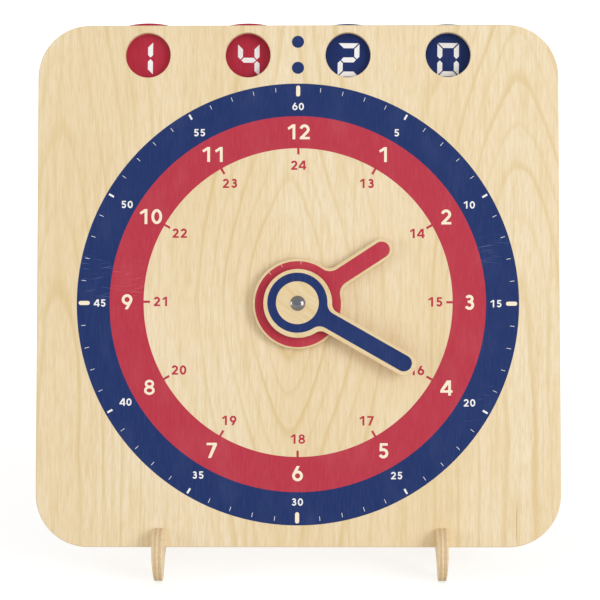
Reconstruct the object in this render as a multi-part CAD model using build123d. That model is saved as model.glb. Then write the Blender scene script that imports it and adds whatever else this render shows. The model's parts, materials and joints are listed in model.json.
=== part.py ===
from build123d import *
import os
from math import cos, radians, sin, sqrt

# Wooden teaching clock: a leaning plywood dial board with two hands and four number discs.
# Lengths are in millimetres and angles in degrees.
# Board pieces are drawn in the board's own frame: X to the right, Y up the board from its
# bottom edge, Z out of its front face. The lean then stands them up, with the front towards -Y.

# Board
board_height = 300.0
board_thickness = 4.0
board_corner_radius = 30.0
board_edge_radius = 0.8
lean_angle = 15.0

# Sight windows
window_radius = 13.0
window_drop = 17.3
window_edge_radius = 0.5

# Number discs, in two layers; a rise is how far a rim stands above the board's top edge
disc_names = ("hour_tens", "hour_units", "minute_tens", "minute_units")
disc_rises = (2.1, 2.35, 1.5, 1.65)
disc_layers = (0, 1, 0, 1)
disc_radius = 53.0
disc_thickness = 2.0
disc_edge_radius = 0.4
disc_room = 0.7
layer_gap = 0.5

# Disc pins and collars
pin_radius = 2.0
pin_seat_depth = 2.5
blind_end_gap = 0.2
collar_radius = 4.0
collar_gap = 0.3
running_clearance = 0.08
seat_clearance = 0.02

# Rear cover and the bars that space it off the board
cover_thickness = 3.0
cover_inset = 1.0
cover_top_drop = 4.0
cover_edge_radius = 0.6
side_bar_width = 8.75
bottom_bar_height = 13.5

# Cover screws
screw_shank_radius = 1.5
screw_head_radius = 3.0
screw_bite = 3.0
screw_tip_length = 1.5
screw_tip_share = 0.33
screw_recess_width = 0.9
screw_recess_depth = 1.0
side_screw_shares = (0.15, 0.7)
bottom_screw_shares = (-0.6, 0.0, 0.6)

# Hands; angles run clockwise from twelve
dial_drop = 144.0
hand_thickness = 4.0
hand_edge_radius = 0.4
hour_hub_radius = 25.9
hour_arm_width = 12.7
hour_web_radius = 6.0
hour_length = 63.4
hour_angle = 57.0
minute_hub_radius = 19.6
minute_arm_width = 13.4
minute_web_radius = 5.0
minute_length = 76.3
minute_angle = 119.7

# Hand pivot
bolt_radius = 2.5
bolt_head_radius = 4.3
bolt_dome_height = 1.5
bolt_tail = 1.5
hand_gap = 0.2
washer_radius = 9.0
washer_thickness = 1.0
rear_washer_radius = 7.5
rear_washer_thickness = 1.2
spring_washer_radius = 4.4
spring_washer_thickness = 1.3
spring_washer_split = 0.8
nut_flats = 8.0
nut_height = 4.0
nut_collar_radius = 3.6
nut_collar_height = 1.0

# Feet, seen from the side; the nose is a round end centred below and behind the board's front edge
foot_places = {"left_foot": -79.5, "right_foot": 82.0}
foot_thickness = 6.5
foot_sole_thickness = 4.5
foot_edge_radius = 1.2
foot_corner_radius = 6.0
nose_radius = 15.05
nose_drop = 4.05
nose_setback = 2.0
sole_flat = 0.36
heel_pad_length = 24.0
heel_height = 16.0
foot_top_sag = 6.0
rear_lip_height = 26.0
rear_lip_thickness = 7.5
slot_clearance = 0.1
arch_length = 64.0
arch_height = 15.0
toe_pad_length = 6.5

# Spare length by which cutting tools pass the faces that they cut
overrun = 1.0

# Places worked out from the sizes above
window_pitch = disc_radius + collar_radius + disc_room
disc_columns = [window_pitch * (index - (len(disc_names) - 1) / 2) for index in range(len(disc_names))]
pocket_half_width = disc_columns[-1] + disc_radius + disc_room
board_width = 2 * (pocket_half_width + side_bar_width + cover_inset)
window_height = board_height - window_drop
pivot_height = window_height - dial_drop
disc_heights = [board_height + rise - disc_radius for rise in disc_rises]
layer_count = max(disc_layers) + 1
pocket_depth = layer_count * disc_thickness + (layer_count + 1) * layer_gap
pocket_floor = min(disc_heights) - disc_radius - disc_room
cover_bottom = pocket_floor - bottom_bar_height
cover_top = board_height - cover_top_drop
board_back = -board_thickness
cover_front = board_back - pocket_depth
cover_back = cover_front - cover_thickness
disc_fronts = [board_back - layer_gap - layer * (disc_thickness + layer_gap) for layer in disc_layers]
side_screw_column = pocket_half_width + side_bar_width / 2
bottom_screw_row = cover_bottom + bottom_bar_height / 2
screw_places = [
    (side * side_screw_column, cover_bottom + share * (cover_top - cover_bottom))
    for side in (-1, 1)
    for share in side_screw_shares
]
screw_places += [(share * pocket_half_width, bottom_screw_row) for share in bottom_screw_shares]
screw_head_depth = screw_head_radius - screw_shank_radius

# Heights of the hand stack above the board's front face
hour_hand_base = washer_thickness + hand_gap
hand_washer_base = hour_hand_base + hand_thickness + hand_gap
minute_hand_base = hand_washer_base + washer_thickness + hand_gap
bolt_head_base = minute_hand_base + hand_thickness + hand_gap
rear_washer_back = board_back - rear_washer_thickness
spring_washer_back = rear_washer_back - spring_washer_thickness
nut_back = spring_washer_back - nut_height
bolt_end = nut_back - nut_collar_height - bolt_tail


def post(radius, low, high):
    """A round bar along the board's normal, from one height to another."""
    return Pos(0, 0, low) * extrude(Circle(radius), amount=high - low)


def tube(outer_radius, inner_radius, low, high):
    """A ring along the board's normal, from one height to another."""
    return Pos(0, 0, low) * extrude(Circle(outer_radius) - Circle(inner_radius), amount=high - low)


def flat_edges(solid):
    """The outline edges of a plate's two broad faces."""
    faces = solid.faces().sort_by(Axis.Z)
    return faces[0].outer_wire().edges() + faces[-1].outer_wire().edges()


def inset_outline(inset):
    """The board's outline, drawn in by an even margin."""
    shape = RectangleRounded(
        board_width - 2 * inset, board_height - 2 * inset, board_corner_radius - inset
    )
    return Pos(0, board_height / 2) * shape


def strip(left, right, bottom, top):
    """A rectangle between two columns and two rows of the board."""
    return Pos((left + right) / 2, (bottom + top) / 2) * Rectangle(right - left, top - bottom)


def screw_holes(low, high):
    """Round holes for the cover screws between two heights."""
    hole = post(screw_shank_radius + seat_clearance, low, high)
    return [Pos(*place) * hole for place in screw_places]


def pin_holes(low, high):
    """Round seats for the disc pins between two heights."""
    hole = post(pin_radius + seat_clearance, low, high)
    return [Pos(x, y) * hole for x, y in zip(disc_columns, disc_heights)]


def front_board():
    """The dial board, with its four windows, the pivot hole and the blind holes in its back."""
    plate = extrude(inset_outline(0), amount=-board_thickness)
    plate = fillet(flat_edges(plate), board_edge_radius)
    window = post(window_radius, board_back - overrun, overrun)
    plate -= [Pos(x, window_height) * window for x in disc_columns]
    front_face = plate.faces().sort_by(Axis.Z)[-1]
    plate = fillet(front_face.inner_wires().edges(), window_edge_radius)
    plate -= Pos(0, pivot_height) * post(bolt_radius + seat_clearance, board_back - overrun, overrun)
    plate -= pin_holes(board_back - overrun, board_back + pin_seat_depth)
    plate -= screw_holes(board_back - overrun, board_back + screw_bite)
    return plate


def spacer_bar(left, right, bottom, top):
    """A plywood bar of the pocket's depth, cut to the board's outline and drilled for its screws."""
    shape = inset_outline(cover_inset) & strip(left, right, bottom, top)
    bar = Pos(0, 0, cover_front) * extrude(shape, amount=pocket_depth)
    bar -= screw_holes(cover_front - overrun, board_back + overrun)
    return bar


def side_bar(side):
    """The spacer beside the discs on one side."""
    inner = side * pocket_half_width
    outer = side * board_width / 2
    return spacer_bar(min(inner, outer), max(inner, outer), cover_bottom, cover_top)


def bottom_bar():
    """The spacer below the discs, between the two side bars."""
    return spacer_bar(-pocket_half_width, pocket_half_width, cover_bottom, pocket_floor)


def rear_cover():
    """The thin panel that closes the disc pocket and holds the pins' rear ends."""
    shape = inset_outline(cover_inset) & strip(-board_width, board_width, cover_bottom, cover_top)
    panel = Pos(0, 0, cover_back) * extrude(shape, amount=cover_thickness)
    rear_face = panel.faces().sort_by(Axis.Z)[0]
    panel = fillet(rear_face.outer_wire().edges(), cover_edge_radius)
    panel -= pin_holes(cover_back - overrun, cover_front + overrun)
    panel -= screw_holes(cover_back - overrun, cover_front + overrun)
    sink = Cone(screw_head_radius + seat_clearance, screw_shank_radius + seat_clearance, screw_head_depth)
    sink = Pos(0, 0, cover_back + screw_head_depth / 2) * sink
    panel -= [Pos(*place) * sink for place in screw_places]
    return panel


def cover_screw():
    """A countersunk wood screw, its head flush with the back of the cover."""
    head = Cone(screw_head_radius, screw_shank_radius, screw_head_depth)
    head = Pos(0, 0, cover_back + screw_head_depth / 2) * head
    tip_end = board_back + screw_bite - blind_end_gap
    tip_start = tip_end - screw_tip_length
    shank = post(screw_shank_radius, cover_back + screw_head_depth, tip_start)
    tip = Cone(screw_shank_radius, screw_shank_radius * screw_tip_share, screw_tip_length)
    tip = Pos(0, 0, tip_start + screw_tip_length / 2) * tip
    screw = head + shank + tip
    for turn in (0, 90):
        slot = Box(2 * screw_shank_radius, screw_recess_width, 2 * screw_recess_depth)
        screw -= Pos(0, 0, cover_back) * Rot(0, 0, turn) * slot
    return screw


def number_disc(index):
    """A thin wooden disc that turns on its pin behind one window."""
    front = disc_fronts[index]
    disc = tube(disc_radius, pin_radius + running_clearance, front - disc_thickness, front)
    disc = fillet(flat_edges(disc), disc_edge_radius)
    return Pos(disc_columns[index], disc_heights[index]) * disc


def disc_pin(index):
    """The steel pin that a disc turns on, from its seat in the board to the back of the cover."""
    pin = post(pin_radius, cover_back, board_back + pin_seat_depth - blind_end_gap)
    return Pos(disc_columns[index], disc_heights[index]) * pin


def disc_collar(index):
    """The collar that keeps a disc in its layer: behind a front disc, in front of a rear one."""
    front = disc_fronts[index]
    back = front - disc_thickness
    low = cover_front if disc_layers[index] == 0 else front + collar_gap
    high = back - collar_gap if disc_layers[index] == 0 else board_back
    collar = tube(collar_radius, pin_radius + seat_clearance, low, high)
    return Pos(disc_columns[index], disc_heights[index]) * collar


def hand(hub_radius, arm_width, web_radius, length, base, angle):
    """A round-ended hand on a round hub, with hollow fillets where the arm leaves the hub."""
    arm_reach = length - arm_width / 2
    arm = Pos(0, arm_reach / 2) * Rectangle(arm_width, arm_reach)
    outline = Circle(hub_radius) + arm + Pos(0, arm_reach) * Circle(arm_width / 2)
    web_row = sqrt(hub_radius**2 - (arm_width / 2) ** 2)
    corners = [
        outline.vertices().sort_by_distance((side * arm_width / 2, web_row, 0))[0] for side in (-1, 1)
    ]
    outline = fillet(corners, web_radius)
    blade = extrude(outline, amount=hand_thickness)
    blade = fillet(flat_edges(blade), hand_edge_radius)
    blade -= post(bolt_radius + running_clearance, -overrun, hand_thickness + overrun)
    return Pos(0, pivot_height, base) * Rot(0, 0, -angle) * blade


def pivot_bolt():
    """The domed bolt that both hands turn on."""
    dome_radius = (bolt_head_radius**2 + bolt_dome_height**2) / (2 * bolt_dome_height)
    ball = Pos(0, 0, bolt_dome_height - dome_radius) * Sphere(dome_radius)
    dome = Pos(0, 0, bolt_head_base) * split(ball, Plane.XY, keep=Keep.TOP)
    return Pos(0, pivot_height) * (dome + post(bolt_radius, bolt_end, bolt_head_base))


def pivot_ring(outer_radius, low, high):
    """A washer on the pivot bolt."""
    return Pos(0, pivot_height) * tube(outer_radius, bolt_radius + seat_clearance, low, high)


def spring_washer():
    """A split ring that keeps the hands' friction even."""
    ring = pivot_ring(spring_washer_radius, spring_washer_back, rear_washer_back)
    gap = Box(spring_washer_split, 2 * spring_washer_radius, 2 * spring_washer_thickness)
    return ring - Pos(0, pivot_height + spring_washer_radius, rear_washer_back) * gap


def lock_nut():
    """A hexagon nut with a round locking collar at its outer end."""
    hexagon = RegularPolygon(nut_flats / 2, 6, major_radius=False)
    body = Pos(0, 0, nut_back) * extrude(hexagon, amount=nut_height)
    body += post(nut_collar_radius, nut_back - nut_collar_height, nut_back)
    body -= post(bolt_radius + seat_clearance, nut_back - nut_collar_height - overrun, spring_washer_back)
    return Pos(0, pivot_height) * body


def side_point(height, depth):
    """A point of the board's frame in the standing side view: back from the front edge, then up."""
    lean = radians(lean_angle)
    return (
        height * sin(lean) - depth * cos(lean),
        height * cos(lean) + depth * sin(lean),
    )


def foot_outline():
    """A foot's side view: round nose, flat sole with an arch, heel and the lip behind the board."""
    nose_back, nose_up = side_point(-nose_drop, -nose_setback)
    half_sole = sqrt(nose_radius**2 - (nose_radius - sole_flat) ** 2)
    toe = (nose_back - half_sole, floor_level)
    nose_front = (nose_back - nose_radius, nose_up)
    nose_top = side_point(nose_radius - nose_drop, -nose_setback)
    lip_front = side_point(rear_lip_height, board_back - slot_clearance)
    lip_back = side_point(rear_lip_height, board_back - slot_clearance - rear_lip_thickness)
    arch_centre = toe[0] + toe_pad_length + arch_length / 2
    heel_foot = (arch_centre + arch_length / 2 + heel_pad_length, floor_level)
    heel_top = (heel_foot[0], floor_level + heel_height)
    outline = make_face(
        [
            ThreePointArc(nose_top, nose_front, toe),
            Polyline(toe, heel_foot, heel_top),
            SagittaArc(heel_top, lip_back, foot_top_sag),
            Polyline(lip_back, lip_front, nose_top),
        ]
    )
    corners = [
        outline.vertices().sort_by_distance((*point, 0))[0] for point in (heel_foot, heel_top, lip_back)
    ]
    outline = fillet(corners, foot_corner_radius)
    return outline - Pos(arch_centre, floor_level) * Ellipse(arch_length / 2, arch_height)


def foot(place):
    """A plywood foot, thinner towards its sole, with the leaning slot that grips the board."""
    body = extrude(Plane.YZ * foot_outline(), amount=foot_thickness / 2, both=True)
    sides = body.faces().sort_by(Axis.X)
    body = fillet(sides[0].edges() + sides[-1].edges(), foot_edge_radius)
    box = body.bounding_box()
    taper = Polyline(
        (-foot_thickness / 2, box.max.Z),
        (-foot_thickness / 2, 0),
        (-foot_sole_thickness / 2, floor_level),
        (foot_sole_thickness / 2, floor_level),
        (foot_thickness / 2, 0),
        (foot_thickness / 2, box.max.Z),
        close=True,
    )
    body &= extrude(Plane.XZ * make_face(taper), amount=box.max.Y - box.min.Y, both=True)
    slot = Box(
        foot_thickness + overrun,
        rear_lip_height + overrun,
        board_thickness + 2 * slot_clearance,
        align=(Align.CENTER, Align.MIN, Align.CENTER),
    )
    body -= lean * Pos(0, 0, board_back / 2) * slot
    return Pos(place, 0, 0) * body


def board_pieces():
    """Every piece that leans with the board, by name."""
    pieces = {
        "front_board": front_board(),
        "left_spacer_bar": side_bar(-1),
        "right_spacer_bar": side_bar(1),
        "bottom_spacer_bar": bottom_bar(),
        "rear_cover": rear_cover(),
        "cover_screws": Compound([Pos(*place) * cover_screw() for place in screw_places]),
    }
    for index, name in enumerate(disc_names):
        pieces[name + "_disc"] = number_disc(index)
        pieces[name + "_pin"] = disc_pin(index)
        pieces[name + "_collar"] = disc_collar(index)
    pieces["hour_hand"] = hand(
        hour_hub_radius, hour_arm_width, hour_web_radius, hour_length, hour_hand_base, hour_angle
    )
    pieces["minute_hand"] = hand(
        minute_hub_radius, minute_arm_width, minute_web_radius, minute_length, minute_hand_base, minute_angle
    )
    pieces["pivot_bolt"] = pivot_bolt()
    pieces["board_washer"] = pivot_ring(washer_radius, 0, washer_thickness)
    pieces["hand_washer"] = pivot_ring(
        washer_radius, hand_washer_base, hand_washer_base + washer_thickness
    )
    pieces["rear_washer"] = pivot_ring(rear_washer_radius, rear_washer_back, board_back)
    pieces["spring_washer"] = spring_washer()
    pieces["lock_nut"] = lock_nut()
    return {name: lean * piece for name, piece in pieces.items()}


# The lean, the floor under the feet, and the whole clock with its origin below the middle of its box
lean = Rot(90 - lean_angle, 0, 0)
floor_level = side_point(-nose_drop, -nose_setback)[1] - nose_radius + sole_flat
clock = board_pieces()
clock.update({name: foot(place) for name, place in foot_places.items()})
whole_box = Compound(list(clock.values())).bounding_box()
origin_shift = Pos(-whole_box.center().X, -whole_box.center().Y, -floor_level)

os.makedirs("parts", exist_ok=True)
for node, piece in clock.items():
    export_step(origin_shift * piece, "parts/" + node + ".step")
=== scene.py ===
import json
import math

import bpy
from mathutils import Matrix, Vector
from mathutils.geometry import delaunay_2d_cdt


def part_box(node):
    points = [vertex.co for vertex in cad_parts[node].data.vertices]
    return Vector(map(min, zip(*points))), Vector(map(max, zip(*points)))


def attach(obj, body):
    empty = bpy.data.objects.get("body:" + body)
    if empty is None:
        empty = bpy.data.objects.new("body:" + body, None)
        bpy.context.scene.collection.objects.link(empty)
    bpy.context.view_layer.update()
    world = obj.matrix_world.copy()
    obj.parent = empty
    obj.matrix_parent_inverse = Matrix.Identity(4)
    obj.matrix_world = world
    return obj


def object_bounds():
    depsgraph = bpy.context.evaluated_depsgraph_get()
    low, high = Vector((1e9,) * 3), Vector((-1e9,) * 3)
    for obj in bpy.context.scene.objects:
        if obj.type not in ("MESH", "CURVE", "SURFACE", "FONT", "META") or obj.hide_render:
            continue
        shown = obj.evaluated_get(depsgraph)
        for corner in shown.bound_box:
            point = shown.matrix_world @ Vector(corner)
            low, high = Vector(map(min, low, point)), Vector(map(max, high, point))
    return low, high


# Looks of a wooden teaching clock: prints, veneers, metal and a plain studio.
# Lengths are in metres, angles in degrees clockwise from twelve, and colours in 8-bit sRGB.

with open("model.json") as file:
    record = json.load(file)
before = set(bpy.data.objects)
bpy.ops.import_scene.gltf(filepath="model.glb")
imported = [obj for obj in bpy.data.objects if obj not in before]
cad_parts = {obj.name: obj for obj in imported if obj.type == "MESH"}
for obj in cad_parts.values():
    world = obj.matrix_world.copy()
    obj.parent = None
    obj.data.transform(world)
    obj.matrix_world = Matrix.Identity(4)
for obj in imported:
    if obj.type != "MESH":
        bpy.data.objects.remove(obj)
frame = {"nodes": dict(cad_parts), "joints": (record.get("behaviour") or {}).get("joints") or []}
cad_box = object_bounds()

# Print films
ink_thickness = 0.00005
ink_sink = 0.00001
merge_distance = 1e-7
circle_steps = 256
arc_steps = 14

# Divisions of the dial
hours = 12
minutes = 60
hour_step = 360 / hours
minute_step = 360 / minutes
hours_per_quarter = 3
minutes_per_quarter = 15
minutes_per_number = 5

# Dial print about the hands' pivot: two layers, each set down a little off it, and both turned a little
print_turn = 0.14
blue_layer = (-0.0002, 0.0005)
red_layer = (0.0, 0.00125)
blue_ring_radius = 0.1268
red_ring_radius = 0.1079
red_ring_inner_radius = 0.0886
minute_tick = {"inner": 0.1223, "outer": 0.1248, "width": 0.00027}
five_minute_tick = {"inner": 0.1223, "outer": 0.1255, "width": 0.0011}
quarter_tick = {"inner": 0.1193, "outer": 0.1257, "width": 0.00235}
hour_tick_length = 0.0036
hour_tick_width = 0.0013
minute_number = {
    "radius": 0.1135, "height": 0.0042, "advance_share": 0.88, "stroke_share": 0.19, "rise": 0,
}
hour_number = {
    "radius": 0.0981, "height": 0.00865, "advance_share": 0.84, "stroke_share": 0.185, "rise": 0,
}
day_number = {
    "radius": 0.0786, "height": 0.0054, "advance_share": 0.87, "stroke_share": 0.21, "rise": 0.0002,
}

# Colon dots, about the row of windows
window_drop = 0.0173
dot_radius = 0.0035
dot_rise = 0.00755

# Flat strokes of the numerals, as a share of the others
thin_share = 0.87

# Hand prints, each a little off its hub, and worn through at three nicks on the hour hand's rim
hour_print = {"hub": 0.0246, "arm_width": 0.0093, "tip": 0.06175, "web": 0.0073, "angle": 57.0}
hour_print_shift = (0.0, -0.0002)
minute_print = {"hub": 0.0171, "arm_width": 0.0093, "tip": 0.0741, "web": 0.0064, "angle": 119.7}
minute_print_shift = (-0.0002, 0.00035)
hour_print_hole = 0.0045
minute_print_hole = 0.0122
nick_length = 0.0019
nick_widths = {317.5: 0.0004, 337.0: 0.0003, 4.5: 0.0003}

# Disc prints; each shows one digit at rest, a little below its window's middle and a little askew
disc_print_inset = 0.0004
disc_print_hole = 0.0045
digit_width = 0.0125
digit_height = 0.0194
digit_stroke = 0.0029
digit_gap = 0.00048
one_shift = 0.0007
ten_digits = "0123456789"
disc_prints = {
    "hour_tens_disc": {
        "digits": "012", "shown": "1", "drop": 0.00113, "turn": 0.6, "ink": "red_print",
    },
    "hour_units_disc": {
        "digits": ten_digits, "shown": "4", "drop": 0.00194, "turn": 0.3, "ink": "red_print",
    },
    "minute_tens_disc": {
        "digits": "012345", "shown": "2", "drop": 0.00227, "turn": 0.6, "ink": "blue_print",
    },
    "minute_units_disc": {
        "digits": ten_digits, "shown": "0", "drop": 0.00185, "turn": 0.6, "ink": "blue_print",
    },
}

# The bars of each digit: a to f run clockwise from the top, and g is the middle one
segments_of = {
    "0": "abcdef", "1": "bc", "2": "abged", "3": "abgcd", "4": "fgbc",
    "5": "afgcd", "6": "afgcde", "7": "abc", "8": "abcdefg", "9": "abcdfg",
}

# Colours
wood_pale = (246, 229, 198)
wood_warm = (241, 219, 180)
wood_line = (224, 196, 140)
wood_fleck = (198, 162, 112)
ply_pale = (238, 215, 175)
ply_dark = (221, 193, 152)
ply_glue = (166, 128, 88)
blue_ink = (27, 48, 102)
# Blue disc ink, darker than the dial's blue: painted shade of the recess behind the windows
blue_disc_ink_painted_shade = (22, 42, 98)
blue_worn = (120, 138, 178)
red_ink = (188, 54, 72)
# Red disc ink, darker than the dial's red: painted shade of the recess behind the windows
red_disc_ink_painted_shade = (181, 41, 63)
red_worn = (222, 136, 136)
white_ink = (252, 250, 249)
white_worn = (222, 218, 214)
cream_ink = (254, 240, 214)
# The bolt's steel: a warm grey that is partly a painted reflection of the wood at its dome's rim, and a
# bluish grey that is a painted reflection of a dark surround at the dome's middle
steel_grey_and_painted_reflection = (128, 122, 114)
steel_painted_reflection_middle = (104, 109, 117)
zinc_grey = (168, 169, 172)
nylon_white = (226, 224, 216)

# Gloss, roughness and relief of the surfaces; a roughness runs between two values with the grain
wood_gloss = 0.2
ink_gloss = 0.15
wood_roughness = (0.5, 0.66)
ink_roughness = (0.45, 0.6)
nylon_roughness = (0.42, 0.58)
polished_roughness = 0.1
zinc_roughness = 0.32
metal_roughness_shares = (0.8, 1.3)
wood_relief = 0.00003
ink_relief = 0.00002
metal_relief = 0.00001
nylon_relief = 0.00001

# Haze of metal and nylon, and the painted reflection at the middle of the bolt's dome: how far from its axis
# it reaches, and its own haze
haze_share = 0.7
nylon_grain_share = 0.9
painted_reflection_reach = (0.0012, 0.0036)
painted_reflection_shares = (0.5, 1.5)

# Plywood: plies, the warmer veneer of the hands, the painted rims of the discs, and the glue lines of edges
thin_plies = 3
thick_plies = 5
spacer_grain_turn = 90
hand_golden_share = 0.42
rim_ink_depth = 0.0008
ply_waviness = 0.0004
glue_line_shares = (0.09, 0.02)
glue_strength = 0.4
face_levels = (0.72, 0.9)

# Growth rings of the face veneer, counted over ridges along the grain: a sharp one in the middle that
# closes in an eye, and a round one at each side that closes upwards, higher and faster on the right
ridge_pitch = 0.132
ridge_middle = -0.005
ridge_rings = 1.95
ridge_rings_slant = 0.106
ridge_slant_reach = 0.04
ridge_peak_share = 0.97
side_peak_share = 0.5
eye_width = 0.055
eye_length = 0.08
eye_rings = 2.8
side_reach = (0.05, 0.12)
side_lift = 0.023
side_bend = 0.03
side_rings_per_metre = 15.7
side_rings_slant = 4.3
eye_count = 20.23
ring_wobble = 0.45
fine_ring_share = 2.0

# A thin dark streak of bark near the board's corner: its middle on the dial, half width and half length
bark_place = (0.1246, -0.1254, 0)
bark_size = (0.0005, 0.0165, 1)
bark_core_share = 0.3
bark_strength = 0.75

# Sizes of the noises in wood, ink, metal and nylon: across the grain, along it, and into the face
wobble_size = (0.03, 0.09, 0.2)
patch_size = (0.05, 0.12, 0.2)
tone_size = (0.055, 0.3, 0.2)
streak_size = (0.0026, 0.05, 0.01)
fibre_size = (0.0009, 0.01, 0.0009)
fleck_size = (0.0008, 0.008, 0.0008)
cloud_size = (0.016, 0.033, 0.016)
speck_size = (0.0009, 0.0038, 0.0009)
scratch_size = (0.02, 0.0006, 1.0)
waviness_size = (0.025, 0.025, 0.025)
edge_fibre_size = (0.002, 0.002, 0.0004)
haze_size = (0.0011, 0.0011, 0.0011)
metal_scratch_size = (0.00025, 0.0033, 0.00025)
moulding_size = (0.0004, 0.0004, 0.0004)

# Octaves of the noises, what each finer octave keeps of the one before, and a noise's middle level
soft_detail = 1.0
fine_detail = 3.0
crisp_share = 0.6
speck_crisp_share = 0.65
noise_middle = 0.5

# Levels at which the marks of wood, ink and metal begin and are full, and how strongly they then show
line_levels = (0.78, 0.93)
line_strength = 0.56
fine_line_levels = (0.66, 0.9)
fine_line_strength = 0.4
valley_levels = (-1.0, -0.6)
valley_strengths = (0.3, 1.0)
patch_levels = (0.3, 0.7)
patch_strengths = (0.35, 1.0)
tone_levels = (0.3, 0.7)
streak_levels = (0.4, 0.8)
streak_strength = 0.52
fibre_levels = (0.35, 0.75)
fibre_strength = 0.45
fleck_levels = (0.68, 0.8)
fleck_strength = 0.3
fleck_depth_share = 0.6
edge_fibre_levels = (0.45, 0.8)
edge_fibre_strength = 0.45
ink_fibre_levels = (0.35, 0.85)
cloud_levels = (0.45, 0.8)
speck_levels = (0.66, 0.78)
speck_share = 1.5
scratch_levels = (0.66, 0.76)
grain_levels = (0.2, 0.9)
haze_levels = (0.2, 0.8)

# How far the wood shows through each ink
show_through_shares = {
    "blue_ink": 0.06, "red_ink": 0.1, "white_ink": 0.2, "cream_ink": 0.12,
    "blue_disc_ink_painted_shade": 0.04, "red_disc_ink_painted_shade": 0.07,
}

# Worn places of the inks, as a middle on the dial and a reach, and the leans of their scratches in radians
blue_wear = (
    ((-0.114, 0.017), 0.02), ((0.1105, 0.032), 0.013),
    ((0.1085, -0.0505), 0.009), ((0.098, -0.066), 0.007),
)
red_wear = (((-0.096, 0.015), 0.016), ((0.0386, 0.0255), 0.008))
wear_core_share = 0.3
wear_strength = 0.75
scratch_leans = (0.12, -0.2)

# Camera: its distance, its tilt below the board's normal, where it aims, and lens and sensor in millimetres
camera_distance = 1.2
camera_tilt = 3.33
camera_side = 0.0167
aim_side = 0.00116
aim_drop = 0.00889
lens = 125.55
sensor_width = 36.0

# Studio: two soft boxes at angles from the board's normal towards the right, and even light all round
floor_half = 15.0
floor_tone = 0.8
floor_seen_tone = 0.5
floor_glow = (0.66, 1.0)
floor_glow_reach = (0.25, 0.8)
world_tone = 0.66
lamp_distance = 3.0
lamps = {
    "right_softbox": {"angle": 44, "width": 1.3, "height": 2.0, "power": 40.0},
    "left_softbox": {"angle": -65, "width": 0.8, "height": 1.5, "power": 16.3},
}

# The board's frame: across, up the board, and out of its front face
joints = {joint["name"]: joint for joint in frame["joints"]}
outward = -Vector(joints["minute_hand_turn"]["axis"]).normalized()
across = Vector((1, 0, 0))
upward = outward.cross(across)


def span(node, direction):
    """How far a node reaches along a direction, as its lowest and highest place."""
    reach = [corner.co.dot(direction) for corner in frame["nodes"][node].data.vertices]
    return min(reach), max(reach)


def lifted(point, level):
    """A point moved along the board's normal to a level."""
    return point + outward * (level - point.dot(outward))


def standing(point, turn=0.0):
    """The board's axes at a point, turned clockwise as seen from the front."""
    axes = Matrix((across, upward, outward)).transposed().to_4x4()
    return Matrix.Translation(point) @ axes @ Matrix.Rotation(-math.radians(turn), 4, "Z")


board_bottom, board_top = span("front_board", upward)
board_face = span("front_board", outward)[1]
pivot = Vector(joints["minute_hand_turn"]["pos_m"])
dial = lifted(pivot, board_face)
dial_place = standing(dial)
print_place = standing(dial, print_turn)


# Flat outlines

def circle(radius, centre=(0, 0), steps=circle_steps):
    """Points round a circle, counter-clockwise."""
    turns = [2 * math.pi * step / steps for step in range(steps)]
    return [(centre[0] + radius * math.cos(turn), centre[1] + radius * math.sin(turn)) for turn in turns]


def arc(centre, radii, start, end, steps=arc_steps):
    """Points along an arc of an ellipse, between two angles from the +X axis."""
    points = []
    for step in range(steps + 1):
        angle = math.radians(start + (end - start) * step / steps)
        points.append((centre[0] + radii[0] * math.cos(angle), centre[1] + radii[1] * math.sin(angle)))
    return points


def oval(centre, radii):
    """Points round an ellipse, counter-clockwise."""
    return arc(centre, radii, 0, 360, 3 * arc_steps)[:-1]


def band(path, width, closed=False):
    """Four-cornered outlines along a path, mitred where they meet."""
    path = [Vector(point) for point in path]
    count = len(path)
    left, right = [], []
    for index, point in enumerate(path):
        before = path[index - 1] if closed or index else point
        after = path[(index + 1) % count] if closed or index + 1 < count else point
        steps = [step for step in (point - before, after - point) if step.length]
        normals = [Vector((-step.y, step.x)).normalized() for step in steps]
        mitre = sum(normals, Vector((0, 0))).normalized()
        offset = mitre * (width / 2 / mitre.dot(normals[0]))
        left.append(point + offset)
        right.append(point - offset)
    pairs = [(index, (index + 1) % count) for index in range(count if closed else count - 1)]
    return [[right[a], right[b], left[b], left[a]] for a, b in pairs]


def moved(outlines, x, y, scale=1.0):
    """Outlines scaled and shifted in their plane."""
    return [[(x + scale * point[0], y + scale * point[1]) for point in outline] for outline in outlines]


def turned(outlines, angle):
    """Outlines turned clockwise about the origin."""
    cosine, sine = math.cos(math.radians(angle)), math.sin(math.radians(angle))
    return [[(cosine * x + sine * y, cosine * y - sine * x) for x, y in outline] for outline in outlines]


def bar(left, right, low, high):
    """A four-sided outline between two sides and two levels."""
    return [(left, low), (right, low), (right, high), (left, high)]


def polar(radius, angle):
    """The point at a radius and at an angle clockwise from twelve."""
    return radius * math.sin(math.radians(angle)), radius * math.cos(math.radians(angle))


# Numerals: the outlines in a box of height 1, and the box's width

def numeral_zero(pen):
    """An upright oval."""
    half_share = 0.355
    path = oval((half_share, 1 / 2), (half_share - pen / 2, 1 / 2 - pen / 2))
    return band(path, pen, closed=True), 2 * half_share


def numeral_one(pen):
    """A stem with a flag."""
    right_share, width_share = 0.52, 0.61
    flag_shares = ((0, 0.77), (0.08, 0.63), (0.41, 0.83), (0.41, 1))
    stem = bar(right_share - pen, right_share, 0, 1)
    return [stem, [*flag_shares, (right_share - pen, 1)]], width_share


def numeral_two(pen):
    """A hook that runs down to a flat base."""
    bowl_share, base_shares, width_share = 0.335, (0.02, 0.68), 0.69
    hook_ends = (168, -38)
    reach = bowl_share - pen / 2
    hook = arc((bowl_share, 1 - bowl_share), (reach, reach), *hook_ends)
    thin = thin_share * pen
    heel = (base_shares[0] + pen / 2, thin / 2)
    return band(hook + [heel], pen) + [bar(*base_shares, 0, thin)], width_share


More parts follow.
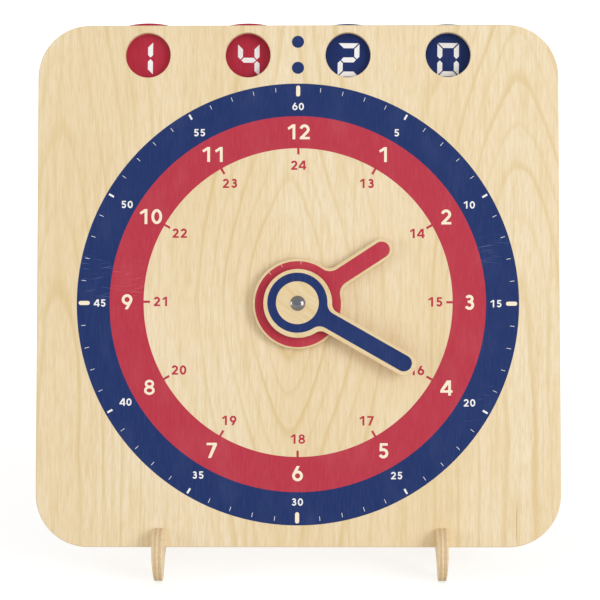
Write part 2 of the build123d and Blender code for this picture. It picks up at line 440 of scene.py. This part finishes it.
def numeral_three(pen):
    """Two bowls that meet in the middle."""
    middle_share, waist_share, width_share = 0.35, 0.54, 0.69
    waist_shares = (0.24, 0.36)
    upper_ends, lower_ends = (158, -90), (90, -158)
    upper = (1 - pen / 2 - waist_share) / 2
    lower = (waist_share - pen / 2) / 2
    bowls = band(arc((middle_share, waist_share + upper), (upper, upper), *upper_ends), pen)
    bowls += band(arc((middle_share, waist_share - lower), (lower, lower), *lower_ends), pen)
    half = thin_share * pen / 2
    return bowls + [bar(*waist_shares, waist_share - half, waist_share + half)], width_share


def numeral_four(pen):
    """A stem and a bar, closed by a slant."""
    right_share, width_share, bar_share, slant_shares = 0.7, 0.8, 0.19, (0.22, 0.72, 0.43)
    left = right_share - pen
    bar_high = bar_share + thin_share * pen
    slant = [
        (0, bar_high), (slant_shares[0], bar_high), (left, slant_shares[1]),
        (left + pen / 2, 1), (slant_shares[2], 1),
    ]
    return [bar(left, right_share, 0, 1), bar(0, width_share, bar_share, bar_high), slant], width_share


def numeral_five(pen):
    """A flag and a stem over a bowl."""
    bowl_share, middle_share, width_share = 0.335, 0.325, 0.68
    flag_shares, stem_shares = (0.1, 0.62), (0.07, 0.46, 0.5)
    bowl_ends = (122, -155)
    reach = bowl_share - pen / 2
    bowl = band(arc((middle_share, bowl_share), (reach, reach), *bowl_ends), pen)
    thin = thin_share * pen
    stem = [
        (stem_shares[0], stem_shares[1]), (stem_shares[0] + pen, stem_shares[2]),
        (flag_shares[0] + thin, 1), (flag_shares[0], 1),
    ]
    return bowl + [bar(*flag_shares, 1 - thin, 1), stem], width_share


def numeral_six(pen):
    """A round bowl with a straight slanting tail."""
    outer_share, tail_angle = 0.355, 152
    lean = math.radians(tail_angle)
    bowl = band(circle(outer_share - pen / 2, (outer_share, outer_share), 3 * arc_steps), pen, closed=True)
    foot = (outer_share + outer_share * math.cos(lean), outer_share + outer_share * math.sin(lean))
    slope = math.sin(lean) / -math.cos(lean)
    top = foot[0] + (1 - foot[1]) * slope
    inner = (foot[0] - pen * math.cos(lean), foot[1] - pen * math.sin(lean))
    tail = [foot, inner, (top - pen / math.cos(lean), 1), (top, 1)]
    return bowl + [tail], 2 * outer_share


def numeral_seven(pen):
    """A bar over a slant."""
    right_share, width_share, slant_shares = 0.68, 0.69, (0.1, 0.84, 0.43)
    slant_pen_share = 1.1
    bar_low = 1 - thin_share * pen
    slant = [
        (slant_shares[0], 0), (slant_shares[0] + slant_pen_share * pen, 0), (right_share, slant_shares[1]),
        (right_share, 1), (slant_shares[2], bar_low),
    ]
    return [bar(0, right_share, bar_low, 1), slant], width_share


def numeral_eight(pen):
    """A small oval over a larger one."""
    middle_share, upper_shares, lower_shares = 0.355, (0.31, 0.27), (0.35, 0.295)
    thin = thin_share * pen
    half = thin / 2
    upper = oval((middle_share, 1 - upper_shares[1]), (upper_shares[0] - half, upper_shares[1] - half))
    lower = oval((middle_share, lower_shares[1]), (lower_shares[0] - half, lower_shares[1] - half))
    rings = band(upper, thin, closed=True) + band(lower, thin, closed=True)
    return rings, 2 * middle_share


def numeral_nine(pen):
    """A six turned upside down."""
    outlines, width = numeral_six(pen)
    return [[(width - point[0], 1 - point[1]) for point in outline] for outline in outlines], width


numeral_makers = (
    numeral_zero, numeral_one, numeral_two, numeral_three, numeral_four,
    numeral_five, numeral_six, numeral_seven, numeral_eight, numeral_nine,
)


def number(text, style, angle):
    """The outlines of an upright number at an angle of the dial."""
    outlines = []
    side, middle_y = polar(style["radius"], angle)
    height = style["height"]
    cell = style["advance_share"] * height
    for index, digit in enumerate(text):
        shapes, width = numeral_makers[int(digit)](style["stroke_share"])
        left = side + cell * (index - len(text) / 2) + (cell - width * height) / 2
        outlines += moved(shapes, left, middle_y + style["rise"] - height / 2, height)
    return outlines


def tick(inner, outer, width):
    """A bar that points outwards at twelve."""
    return bar(-width / 2, width / 2, inner, outer)


def round_tick(inner, outer, width):
    """A bar with round ends that points outwards at twelve."""
    radius = width / 2
    far = arc((0, outer - radius), (radius, radius), 0, 180)
    near = arc((0, inner + radius), (radius, radius), 180, 360)
    return far + near


def segment_digit(digit):
    """The mitred bars of a seven-segment digit, about its middle."""
    side, top = digit_width / 2, digit_height / 2
    near = side - digit_stroke
    half = digit_stroke / 2
    gap = digit_gap
    roof = [
        (gap - side, top), (side - gap, top),
        (near - gap, top - digit_stroke), (gap - near, top - digit_stroke),
    ]
    post = [
        (side, top - gap), (near, top - gap - digit_stroke), (near, half + gap),
        (side - half, gap), (side, half + gap),
    ]
    bridge = [
        (gap + half - side, 0), (gap - near, -half), (near - gap, -half),
        (side - half - gap, 0), (near - gap, half), (gap - near, half),
    ]
    bars = {"a": roof, "b": post, "g": bridge}
    bars["c"] = [(x, -y) for x, y in post]
    bars["d"] = [(x, -y) for x, y in roof]
    bars["e"] = [(-x, -y) for x, y in post]
    bars["f"] = [(-x, y) for x, y in post]
    shift = half - side + one_shift if digit == "1" else 0
    return moved([bars[name] for name in segments_of[digit]], shift, 0)


def hand_outline(hub, arm_width, tip, web, angle):
    """A hub and a round-ended arm, with hollow fillets where they meet."""
    half = arm_width / 2
    web_x = half + web
    web_y = math.sqrt((hub + web) ** 2 - web_x**2)
    lean = math.degrees(math.atan2(web_y, web_x))
    right_web = arc((web_x, web_y), (web, web), lean - 180, -180)
    left_web = [(-x, y) for x, y in reversed(right_web)]
    end = arc((0, tip - half), (half, half), 0, 180)
    round_hub = arc((0, 0), (hub, hub), 180 - lean, 360 + lean, 6 * arc_steps)
    return turned([right_web + end + left_web + round_hub[1:-1]], angle)[0]


# Films

def counter_clockwise(outline):
    """The outline's points, turned the counter-clockwise way."""
    points = [Vector(point[:2]) for point in outline]
    area = sum(a.x * b.y - b.x * a.y for a, b in zip(points, points[1:] + points[:1]))
    return points if area > 0 else points[::-1]


def flat_shape(added, cut=()):
    """Triangles that cover the added outlines and leave out the cut ones."""
    points, loops = [], []
    for outline in [*added, *cut]:
        corners = counter_clockwise(outline)
        loops.append(list(range(len(points), len(points) + len(corners))))
        points += corners
    corners, _, triangles, _, _, sources = delaunay_2d_cdt(points, [], loops, 1, merge_distance, True)
    kept = [
        triangle for triangle, source in zip(triangles, sources) if source and max(source) < len(added)
    ]
    used = sorted({corner for triangle in kept for corner in triangle})
    order = {corner: index for index, corner in enumerate(used)}
    faces = [[order[corner] for corner in triangle] for triangle in kept]
    return [corners[corner] for corner in used], faces


def film(name, shape, place, low, slot, body, material=None):
    """A thin closed layer of ink over a level of a place, in its slot's ink if no material is given."""
    corners, triangles = shape
    count = len(corners)
    levels = (low + ink_thickness, low - ink_sink)
    points = [place @ Vector((corner.x, corner.y, level)) for level in levels for corner in corners]
    faces = [tuple(triangle) for triangle in triangles]
    faces += [tuple(corner + count for corner in reversed(triangle)) for triangle in triangles]
    edges = {(a, b) for triangle in triangles for a, b in zip(triangle, triangle[1:] + triangle[:1])}
    faces += [(b, a, a + count, b + count) for a, b in sorted(edges) if (b, a) not in edges]
    mesh = bpy.data.meshes.new(name)
    mesh.from_pydata(points, [], faces)
    mesh.materials.append(material or inks[slot])
    piece = bpy.data.objects.new(name, mesh)
    bpy.context.scene.collection.objects.link(piece)
    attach(piece, body)


# Materials

def linear(colour, share=1.0):
    """An 8-bit sRGB colour as linear RGBA, dimmed or lit to a share."""
    levels = [value / 255 for value in colour]
    lit = [level / 12.92 if level <= 0.04045 else ((level + 0.055) / 1.055) ** 2.4 for level in levels]
    return [share * level for level in lit] + [1]


class Nodes:
    """Writes nodes into a tree."""

    def __init__(self, tree):
        self.tree = tree

    def put(self, socket, value):
        """Links a socket to another, or sets its value."""
        if isinstance(value, bpy.types.NodeSocket):
            self.tree.links.new(value, socket)
        else:
            socket.default_value = value

    def node(self, kind, inputs, output=0, **settings):
        """Adds a node and gives one of its outputs."""
        made = self.tree.nodes.new(kind)
        for key, value in settings.items():
            setattr(made, key, value)
        for key, value in inputs.items():
            self.put(made.inputs[key], value)
        return made.outputs[output]

    def sum(self, operation, *values):
        """A sum of numbers, such as ADD or MULTIPLY."""
        return self.node("ShaderNodeMath", dict(enumerate(values)), operation=operation)

    def vector(self, operation, *values, output="Vector"):
        """A sum of vectors, such as MULTIPLY or DISTANCE."""
        return self.node("ShaderNodeVectorMath", dict(enumerate(values)), output, operation=operation)

    def mix(self, share, low, high):
        """A colour between two others."""
        return self.node("ShaderNodeMix", {0: share, 6: low, 7: high}, 2, data_type="RGBA")

    def ramp(self, value, low, high, start=0.0, end=1.0):
        """A smooth step of a number from one level to another."""
        inputs = {0: value, 1: low, 2: high, 3: start, 4: end}
        return self.node("ShaderNodeMapRange", inputs, interpolation_type="SMOOTHSTEP")

    def noise(self, point, size, detail=2.0, roughness=0.5):
        """Soft noise with its own size along each axis."""
        scaled = self.vector("DIVIDE", point, size)
        inputs = {"Vector": scaled, "Scale": 1.0, "Detail": detail, "Roughness": roughness}
        return self.node("ShaderNodeTexNoise", inputs)

    def parts(self, vector):
        """A vector's three numbers."""
        split = self.tree.nodes.new("ShaderNodeSeparateXYZ")
        self.put(split.inputs[0], vector)
        return split.outputs[0], split.outputs[1], split.outputs[2]

    def seen(self):
        """Where the camera, a mirror or a glass looks straight at a backdrop."""
        path = self.tree.nodes.new("ShaderNodeLightPath")
        share = path.outputs["Is Camera Ray"]
        for ray in ("Is Glossy Ray", "Is Transmission Ray"):
            share = self.sum("MAXIMUM", share, path.outputs[ray])
        return share


class Shade(Nodes):
    """Writes the nodes of one material."""

    def __init__(self, name, **surface):
        self.material = bpy.data.materials.new(name)
        self.material.use_nodes = True
        super().__init__(self.material.node_tree)
        self.surface = self.tree.nodes["Principled BSDF"]
        self.dress(**surface)

    def dress(self, **surface):
        """Sets sockets of the surface."""
        for key, value in surface.items():
            self.put(self.surface.inputs[key.replace("_", " ")], value)

    def spot(self, place):
        """The shaded point in a piece's own frame: across its grain, along it, and out of its face."""
        inverse = place.inverted()
        point = self.node("ShaderNodeTexCoord", {}, "Object")
        inputs = {"Vector": point, "Location": inverse.translation, "Rotation": inverse.to_euler()}
        return self.node("ShaderNodeMapping", inputs)

    def facing(self, direction):
        """How squarely the surface faces along a direction, from 0 to 1."""
        normal = self.node("ShaderNodeTexCoord", {}, "Normal")
        return self.sum("ABSOLUTE", self.vector("DOT_PRODUCT", normal, direction, output="Value"))

    def bump(self, height, distance):
        """Lets a height roughen the surface."""
        inputs = {"Height": height, "Distance": distance, "Strength": 1.0}
        self.dress(Normal=self.node("ShaderNodeBump", inputs))


def ring_count(shade, point):
    """The count of growth rings over ridges, lower where they close, and how near a ridge is."""
    x, y, _ = shade.parts(point)
    x = shade.sum("SUBTRACT", x, ridge_middle)
    side = shade.ramp(shade.sum("ABSOLUTE", x), *side_reach)
    slant = shade.sum("TANH", shade.sum("DIVIDE", x, ridge_slant_reach))
    rings = shade.sum("MULTIPLY_ADD", slant, -ridge_rings_slant, ridge_rings)
    crest = shade.sum("COSINE", shade.sum("MULTIPLY", x, 2 * math.pi / ridge_pitch))
    share = shade.sum("MULTIPLY_ADD", side, side_peak_share - ridge_peak_share, ridge_peak_share)
    slope = shade.sum("ARCSINE", shade.sum("MULTIPLY", crest, share))
    peak = shade.sum("DIVIDE", slope, shade.sum("ARCSINE", share))
    reach = shade.sum("DIVIDE", x, eye_width)
    inside = shade.sum("EXPONENT", shade.sum("MULTIPLY", shade.sum("MULTIPLY", reach, reach), -1.0))
    square = shade.sum("MULTIPLY", y, y)
    closing = shade.sum("DIVIDE", square, shade.sum("ADD", square, eye_length**2))
    eye = shade.sum("MULTIPLY", shade.sum("MULTIPLY", inside, closing), eye_rings)
    rise = shade.sum("MULTIPLY_ADD", slant, -side_lift, y)
    bent = shade.sum("ADD", rise, shade.sum("SQRT", shade.sum("MULTIPLY_ADD", rise, rise, side_bend**2)))
    pace = shade.sum("MULTIPLY_ADD", slant, side_rings_slant / 2, side_rings_per_metre / 2)
    arch = shade.sum("MULTIPLY", shade.sum("MULTIPLY", side, bent), pace)
    count = shade.sum("SUBTRACT", shade.sum("MULTIPLY", rings, peak), shade.sum("ADD", eye, arch))
    wobble = shade.sum("SUBTRACT", shade.noise(point, wobble_size, fine_detail), noise_middle)
    count = shade.sum("MULTIPLY_ADD", wobble, ring_wobble, count)
    return shade.sum("ADD", count, eye_count - ridge_rings), crest


def ring_line(shade, count, start, darkest):
    """Dark late wood at the end of each ring."""
    phase = shade.sum("FRACT", count)
    return shade.sum("MULTIPLY", shade.ramp(phase, start, darkest), shade.ramp(phase, 1.0, darkest))


def veneer(shade, point, golden):
    """The colour and the height of a birch face: growth lines, streaks, fibres and flecks."""
    count, crest = ring_count(shade, point)
    patchy = shade.ramp(shade.noise(point, patch_size, soft_detail), *patch_levels, *patch_strengths)
    clear = shade.sum("MULTIPLY", patchy, shade.ramp(crest, *valley_levels, *valley_strengths))
    line = shade.sum("MULTIPLY", ring_line(shade, count, *line_levels), clear)
    fine_count = shade.sum("MULTIPLY", count, fine_ring_share)
    fine_line = shade.sum("MULTIPLY", ring_line(shade, fine_count, *fine_line_levels), clear)
    tone = shade.ramp(shade.noise(point, tone_size), *tone_levels)
    streak = shade.ramp(shade.noise(point, streak_size, roughness=crisp_share), *streak_levels)
    fibre = shade.noise(point, fibre_size, roughness=crisp_share)
    fleck = shade.ramp(shade.noise(point, fleck_size, soft_detail), *fleck_levels)
    colour = shade.mix(tone, linear(wood_pale), linear(wood_warm))
    colour = shade.mix(golden, colour, linear(wood_line))
    marks = ((line, line_strength), (fine_line, fine_line_strength), (streak, streak_strength))
    for share, strength in marks:
        colour = shade.mix(shade.sum("MULTIPLY", share, strength), colour, linear(wood_line))
    colour = shade.mix(shade.ramp(fibre, *fibre_levels, 0.0, fibre_strength), colour, linear(wood_line))
    colour = shade.mix(shade.sum("MULTIPLY", fleck, fleck_strength), colour, linear(wood_fleck))
    height = shade.sum("MULTIPLY_ADD", fleck, -fleck_depth_share, fibre)
    return colour, height


def bark(shade, point):
    """The share of a thin dark streak along the grain."""
    near = shade.vector("DIVIDE", shade.vector("SUBTRACT", point, bark_place), bark_size)
    distance = shade.vector("LENGTH", near, output="Value")
    return shade.ramp(distance, 1.0, bark_core_share, 0.0, bark_strength)


def ply_edge(shade, point, low, high, plies):
    """The colour of a plywood edge: pale and dark plies with thin glue lines."""
    depth = shade.parts(point)[2]
    waviness = shade.sum("SUBTRACT", shade.noise(point, waviness_size, soft_detail), noise_middle)
    depth = shade.sum("MULTIPLY_ADD", waviness, ply_waviness, depth)
    layer = shade.sum("MULTIPLY", shade.sum("SUBTRACT", depth, low), plies / (high - low))
    parity = shade.sum("MODULO", shade.sum("FLOOR", shade.sum("ADD", layer, 2.0 * plies)), 2.0)
    glue = shade.ramp(shade.sum("PINGPONG", layer, 1 / 2), *glue_line_shares)
    fibre = shade.ramp(shade.noise(point, edge_fibre_size), *edge_fibre_levels, 0.0, edge_fibre_strength)
    colour = shade.mix(parity, linear(ply_pale), linear(ply_dark))
    colour = shade.mix(fibre, colour, linear(ply_glue))
    return shade.mix(shade.sum("MULTIPLY", glue, glue_strength), colour, linear(ply_glue))


def plywood(name, place, low, high, plies, golden=0.0, barked=False, rim_ink=None):
    """Lacquered birch plywood, its faces square to the place's third axis, and its rim painted if asked."""
    shade = Shade(name, Specular_IOR_Level=wood_gloss)
    point = shade.spot(place)
    face, height = veneer(shade, point, golden)
    if barked:
        face = shade.mix(bark(shade, point), face, linear(wood_fleck))
    edge = ply_edge(shade, point, low, high, plies)
    square = shade.ramp(shade.facing(place.col[2].xyz), *face_levels)
    colour = shade.mix(square, edge, face)
    if rim_ink:
        depth = shade.parts(point)[2]
        rim = shade.ramp(depth, high - rim_ink_depth, high - rim_ink_depth / 2)
        colour = shade.mix(rim, colour, linear(rim_ink))
    shade.dress(Base_Color=colour, Roughness=shade.ramp(height, *grain_levels, *wood_roughness))
    shade.bump(height, wood_relief)
    return shade.material


def ink(name, colour, worn, wear=()):
    """Satin print over wood: fibres show through it, and it has specks, and scratches in its worn places."""
    shade = Shade(name, Specular_IOR_Level=ink_gloss)
    point = shade.spot(dial_place)
    show_through = show_through_shares[name]
    fibre = shade.noise(point, fibre_size, roughness=crisp_share)
    cloud = shade.noise(point, cloud_size, fine_detail)
    speck = shade.ramp(shade.noise(point, speck_size, roughness=speck_crisp_share), *speck_levels)
    base = shade.mix(shade.ramp(fibre, *ink_fibre_levels, 0.0, show_through), linear(colour), linear(worn))
    base = shade.mix(shade.ramp(cloud, *cloud_levels, 0.0, show_through), base, linear(worn))
    base = shade.mix(shade.sum("MULTIPLY", speck, speck_share * show_through), base, linear(worn))
    for lean in scratch_leans if wear else ():
        slanted = shade.node("ShaderNodeMapping", {"Vector": point, "Rotation": (0, 0, lean)})
        scratch = shade.ramp(shade.noise(slanted, scratch_size, soft_detail), *scratch_levels)
        for (middle_x, middle_y), reach in wear:
            distance = shade.vector("DISTANCE", point, (middle_x, middle_y, 0), output="Value")
            near = shade.ramp(distance, reach, wear_core_share * reach, 0.0, wear_strength)
            base = shade.mix(shade.sum("MULTIPLY", scratch, near), base, linear(worn))
    shade.dress(Base_Color=base, Roughness=shade.ramp(fibre, *grain_levels, *ink_roughness))
    shade.bump(fibre, ink_relief)
    return shade.material


def metal(name, colour, roughness, painted_reflection=None):
    """Plated or polished steel with fine scratches, and a painted reflection in another grey near the
    pivot's axis if asked.
    """
    shade = Shade(name, Metallic=1.0)
    point = shade.spot(dial_place)
    haze = shade.noise(point, haze_size, fine_detail, crisp_share)
    scratch = shade.noise(point, metal_scratch_size)
    base = shade.mix(haze, linear(colour), linear(colour, haze_share))
    # Painted reflection: a bluish grey about the pivot's axis, standing for a dark surround mirrored in the
    # dome's middle
    if painted_reflection:
        radius = shade.vector("LENGTH", shade.vector("MULTIPLY", point, (1, 1, 0)), output="Value")
        painted_reflection_base = shade.mix(haze, *[linear(painted_reflection, share) for share in painted_reflection_shares])
        base = shade.mix(shade.ramp(radius, *painted_reflection_reach), painted_reflection_base, base)
    roughness_ends = [roughness * share for share in metal_roughness_shares]
    shade.dress(Base_Color=base, Roughness=shade.ramp(haze, *haze_levels, *roughness_ends))
    shade.bump(scratch, metal_relief)
    return shade.material


def nylon(name):
    """Milky plastic with a faint moulded grain."""
    shade = Shade(name)
    point = shade.spot(dial_place)
    grain = shade.noise(point, moulding_size)
    base = shade.mix(grain, linear(nylon_white), linear(nylon_white, nylon_grain_share))
    shade.dress(Base_Color=base, Roughness=shade.ramp(grain, *haze_levels, *nylon_roughness))
    shade.bump(grain, nylon_relief)
    return shade.material


def dress(node, material):
    """Gives a carried-over node its finish."""
    slots = frame["nodes"][node].data.materials
    slots.clear()
    slots.append(material)


def normal_span(node):
    """A node's lowest and highest level above the dial's face."""
    low, high = span(node, outward)
    return low - board_face, high - board_face


# Plywood pieces; the veneer of hands and rear cover starts off the eye, where its lines run straight
board_birch = plywood("board_birch", dial_place, *normal_span("front_board"), thin_plies, barked=True)
dress("front_board", board_birch)
beside = dial + across * ridge_pitch / 4
rear_birch = plywood("rear_birch", standing(beside), *normal_span("rear_cover"), thin_plies)
dress("rear_cover", rear_birch)
spacer_place = standing(dial, spacer_grain_turn)
spacer_birch = plywood("spacer_birch", spacer_place, *normal_span("left_spacer_bar"), thick_plies)
for bar_name in ("left_spacer_bar", "right_spacer_bar", "bottom_spacer_bar"):
    dress(bar_name, spacer_birch)
for hand, style in (("hour_hand", hour_print), ("minute_hand", minute_print)):
    hand_place = standing(beside, style["angle"])
    dress(hand, plywood(hand + "_birch", hand_place, *normal_span(hand), thin_plies, hand_golden_share))
for disc, style in disc_prints.items():
    # Disc rims take the darker disc inks, which hold painted shade
    rim_ink = red_disc_ink_painted_shade if style["ink"] == "red_print" else blue_disc_ink_painted_shade
    dress(disc, plywood(disc + "_birch", dial_place, *normal_span(disc), thin_plies, rim_ink=rim_ink))
for foot in ("left_foot", "right_foot"):
    low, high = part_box(foot)
    middle = (low + high) / 2
    sideways = Matrix.Translation(middle) @ Matrix(((0, 0, 1), (1, 0, 0), (0, 1, 0))).to_4x4()
    dress(foot, plywood(foot + "_birch", sideways, low.x - middle.x, high.x - middle.x, thick_plies))

# Metal and plastic pieces
# The bolt's steel carries painted reflections: warm grey towards its rim, bluish grey at its middle
polished_steel = metal("polished_steel", steel_grey_and_painted_reflection, polished_roughness, steel_painted_reflection_middle)
zinc_steel = metal("zinc_steel", zinc_grey, zinc_roughness)
collar_nylon = nylon("collar_nylon")
dress("pivot_bolt", polished_steel)
for fitting in ("board_washer", "hand_washer", "rear_washer", "spring_washer", "lock_nut", "cover_screws"):
    dress(fitting, zinc_steel)
for disc in disc_prints:
    dress(disc.replace("_disc", "_pin"), zinc_steel)
    dress(disc.replace("_disc", "_collar"), collar_nylon)

# Inks
inks = {
    "blue_print": ink("blue_ink", blue_ink, blue_worn, blue_wear),
    "red_print": ink("red_ink", red_ink, red_worn, red_wear),
    "white_print": ink("white_ink", white_ink, white_worn),
    "cream_print": ink("cream_ink", cream_ink, wood_line),
}
# Darker inks for the discs: painted shade of the recess behind the windows
disc_inks_painted_shade = {
    "blue_print": ink("blue_disc_ink_painted_shade", blue_disc_ink_painted_shade, blue_worn),
    "red_print": ink("red_disc_ink_painted_shade", red_disc_ink_painted_shade, red_worn),
}

# Dial print: coloured rings and colon dots first, then the light marks on them
window_row = board_top - window_drop - dial.dot(upward)
dots = [circle(dot_radius, (0, window_row + side * dot_rise)) for side in (-1, 1)]
ring_edge = circle(red_ring_radius, blue_layer)
ring_inner = circle(red_ring_inner_radius, red_layer)
blue_shapes = [circle(blue_ring_radius, blue_layer)] + turned(dots, -print_turn)
film("dial_blue_print", flat_shape(blue_shapes, [ring_edge]), print_place, 0, "blue_print", "board")
film("dial_red_print", flat_shape([ring_edge], [ring_inner]), print_place, 0, "red_print", "board")

day_marks = []
for hour in range(hours):
    ring_tick = tick(red_ring_inner_radius - hour_tick_length, red_ring_inner_radius, hour_tick_width)
    day_marks += turned([ring_tick], hour_step * hour)
    day_marks += number(str(hour + hours if hour else 2 * hours), day_number, hour_step * hour)
day_marks = flat_shape(moved(day_marks, *red_layer))
film("dial_day_numbers", day_marks, print_place, 0, "red_print", "board")

minute_marks = []
for minute in range(minutes):
    if minute % minutes_per_quarter:
        style = minute_tick if minute % minutes_per_number else five_minute_tick
        minute_marks += turned([tick(**style)], minute_step * minute)
    if minute % minutes_per_number == 0:
        minute_marks += number(str(minute or minutes), minute_number, minute_step * minute)
minute_marks = flat_shape(moved(minute_marks, *blue_layer))
film("dial_minute_marks", minute_marks, print_place, ink_thickness, "white_print", "board")

hour_marks = []
for hour in range(hours):
    hour_marks += moved(number(str(hour or hours), hour_number, hour_step * hour), *red_layer)
    if hour % hours_per_quarter == 0:
        hour_marks += moved(turned([round_tick(**quarter_tick)], hour_step * hour), *blue_layer)
film("dial_hour_numbers", flat_shape(hour_marks), print_place, ink_thickness, "cream_print", "board")

# Hand prints
nicks = []
for angle, width in nick_widths.items():
    nicks += turned([tick(hour_print["hub"] - nick_length, hour_print["hub"] + nick_length, width)], angle)
hour_shape = moved([hand_outline(**hour_print)], *hour_print_shift)
hour_shape = flat_shape(hour_shape, [circle(hour_print_hole)] + nicks)
hour_level = normal_span("hour_hand")[1]
film("hour_hand_print", hour_shape, dial_place, hour_level, "red_print", "hour_hand")
minute_shape = moved([hand_outline(**minute_print)], *minute_print_shift)
minute_shape = flat_shape(minute_shape, [circle(minute_print_hole, minute_print_shift)])
minute_level = normal_span("minute_hand")[1]
film("minute_hand_print", minute_shape, dial_place, minute_level, "blue_print", "minute_hand")

# Disc prints
for disc, style in disc_prints.items():
    low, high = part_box(disc)
    middle = lifted(Vector(joints[disc + "_turn"]["pos_m"]), span(disc, outward)[1])
    place = standing(middle)
    disc_rim = circle((high.x - low.x) / 2 - disc_print_inset)
    coat = flat_shape([disc_rim], [circle(disc_print_hole)])
    # The disc's coat is in its darker ink, painted shade of the window's recess
    film(disc + "_print", coat, place, 0, style["ink"], disc, disc_inks_painted_shade[style["ink"]])
    digits = []
    digit_row = window_row + dial.dot(upward) - style["drop"] - middle.dot(upward)
    step = 360 / len(style["digits"])
    for index, digit in enumerate(style["digits"]):
        angle = style["turn"] - step * (index - style["digits"].index(style["shown"]))
        digits += turned(moved(segment_digit(digit), 0, digit_row), angle)
    film(disc + "_digits", flat_shape(digits), place, ink_thickness, "white_print", disc)


# Studio

def make_floor():
    """A wide pale floor that looks white, and keeps the clock's shadow near it."""
    mesh = bpy.data.meshes.new("floor")
    corners = [(x, y, 0) for x, y in bar(-floor_half, floor_half, -floor_half, floor_half)]
    mesh.from_pydata(corners, [], [(0, 1, 2, 3)])
    floor = bpy.data.objects.new("floor", mesh)
    bpy.context.scene.collection.objects.link(floor)
    shade = Shade("floor_white", Roughness=1.0, Specular_IOR_Level=0.0, Emission_Color=(1, 1, 1, 1))
    seen = shade.seen()
    point = shade.node("ShaderNodeTexCoord", {}, "Object")
    distance = shade.vector("LENGTH", point, output="Value")
    glow = shade.ramp(distance, *floor_glow_reach, *floor_glow)
    tone = shade.ramp(seen, 0.0, 1.0, floor_tone, floor_seen_tone)
    grey = shade.node("ShaderNodeCombineColor", {0: tone, 1: tone, 2: tone})
    shade.dress(Base_Color=grey, Emission_Strength=shade.sum("MULTIPLY", seen, glow))
    mesh.materials.append(shade.material)


def make_world():
    """Even light from all round, seen as plain white."""
    world = bpy.data.worlds.new("studio")
    bpy.context.scene.world = world
    world.use_nodes = True
    nodes = Nodes(world.node_tree)
    surround = world.node_tree.nodes["Background"]
    surround.inputs["Color"].default_value = (1, 1, 1, 1)
    nodes.put(surround.inputs["Strength"], nodes.ramp(nodes.seen(), 0.0, 1.0, world_tone, 1.0))


def make_lamps():
    """Soft boxes at both sides of the board's normal that look at the board's middle."""
    target = (cad_box[0] + cad_box[1]) / 2
    for name, style in lamps.items():
        lamp = bpy.data.lights.new(name, "AREA")
        lamp.shape = "RECTANGLE"
        lamp.size = style["width"]
        lamp.size_y = style["height"]
        lamp.energy = style["power"]
        angle = math.radians(style["angle"])
        towards = math.cos(angle) * outward + math.sin(angle) * across
        box = bpy.data.objects.new(name, lamp)
        box.location = target + lamp_distance * towards
        box.rotation_euler = towards.to_track_quat("Z", "Y").to_euler()
        bpy.context.scene.collection.objects.link(box)


def make_camera():
    """A long lens just below the board's normal."""
    middle = lifted(Vector((0, 0, 0)), board_face) + upward * ((board_bottom + board_top) / 2)
    tilt = math.radians(camera_tilt)
    towards = math.cos(tilt) * outward - math.sin(tilt) * upward
    eye = middle + camera_distance * towards + camera_side * across
    aim = middle + aim_side * across - aim_drop * upward
    back = (eye - aim).normalized()
    side = upward.cross(back).normalized()
    camera = bpy.data.cameras.new("camera")
    camera.sensor_width = sensor_width
    camera.lens = lens
    holder = bpy.data.objects.new("camera", camera)
    axes = Matrix((side, back.cross(side), back)).transposed().to_4x4()
    holder.matrix_world = Matrix.Translation(eye) @ axes
    bpy.context.scene.collection.objects.link(holder)
    bpy.context.scene.camera = holder


make_floor()
make_world()
make_lamps()
make_camera()
bpy.context.scene.view_settings.view_transform = "Standard"
